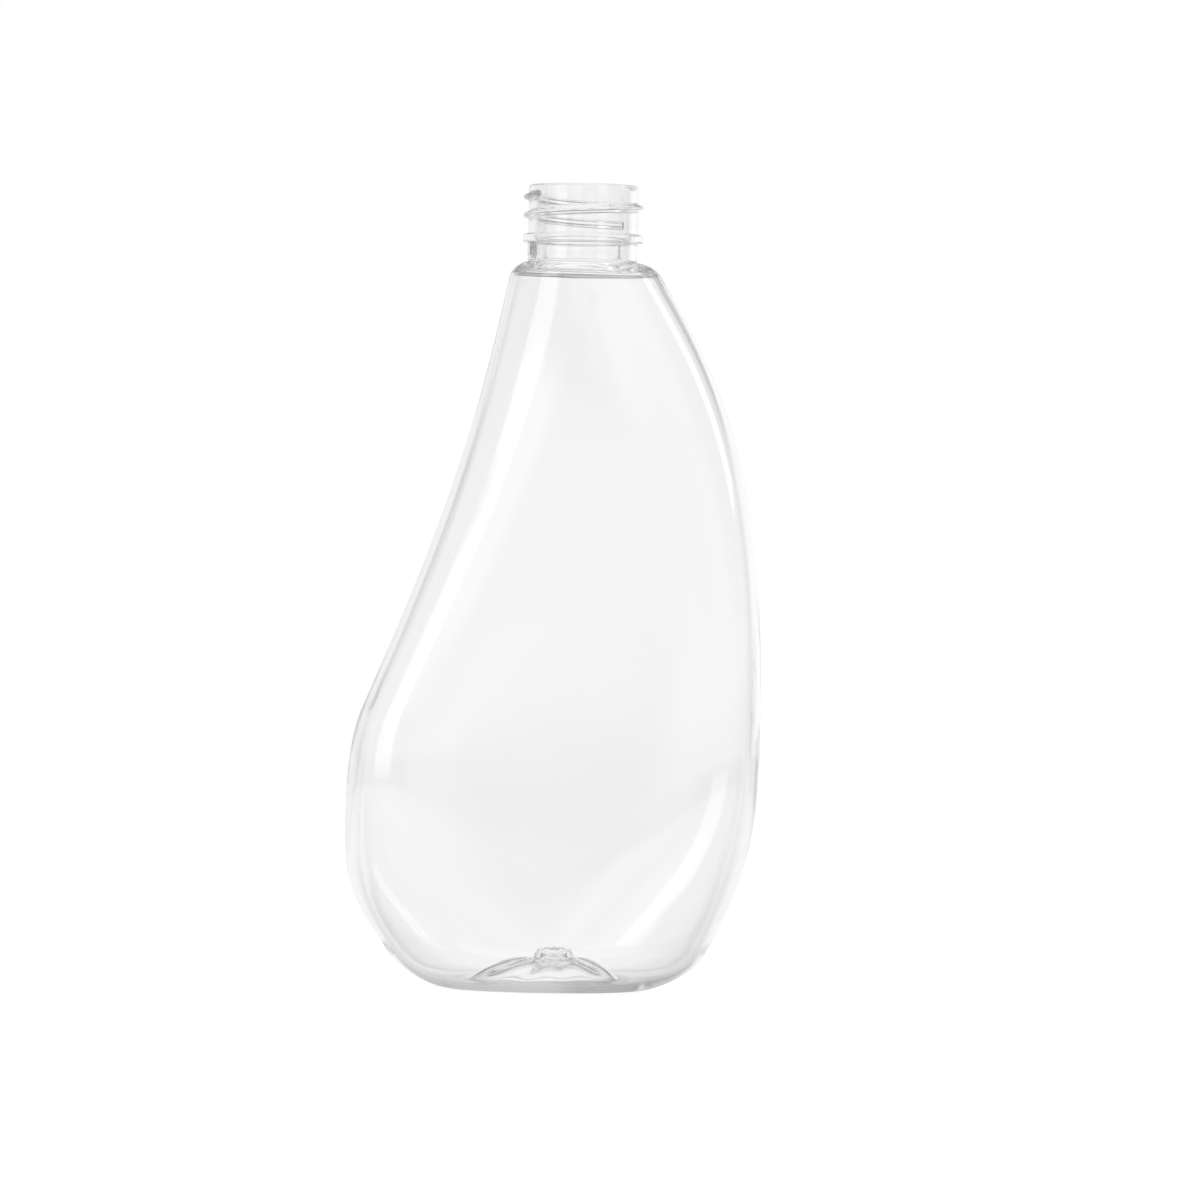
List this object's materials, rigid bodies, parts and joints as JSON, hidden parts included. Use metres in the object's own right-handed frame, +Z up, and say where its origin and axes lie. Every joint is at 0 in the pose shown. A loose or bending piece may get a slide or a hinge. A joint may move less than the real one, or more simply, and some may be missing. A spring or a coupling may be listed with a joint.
{
  "type": "drop-shaped plastic bottle",
  "caption": "Clear drop-shaped oval bottle that bellies out to one side, with an open threaded neck for a screw-on trigger sprayer or cap and a pushed-up base.",
  "frame": {"origin": "on the floor under the middle of the bottle's bounding box", "axes": "+Z up the bottle to the neck, +X to the right as the bottle is seen from its front, away from the low belly, -Y out of the front"},
  "size_m": [0.0948, 0.058, 0.185],
  "materials": {
    "clear_plastic": "clear colourless PET, glossy and see-through"
  },
  "bodies": {
    "root": {"neck_finish": "clear_plastic", "front_half": "clear_plastic", "back_half": "clear_plastic", "base_cup": "clear_plastic"}
  },
  "joints": []
}
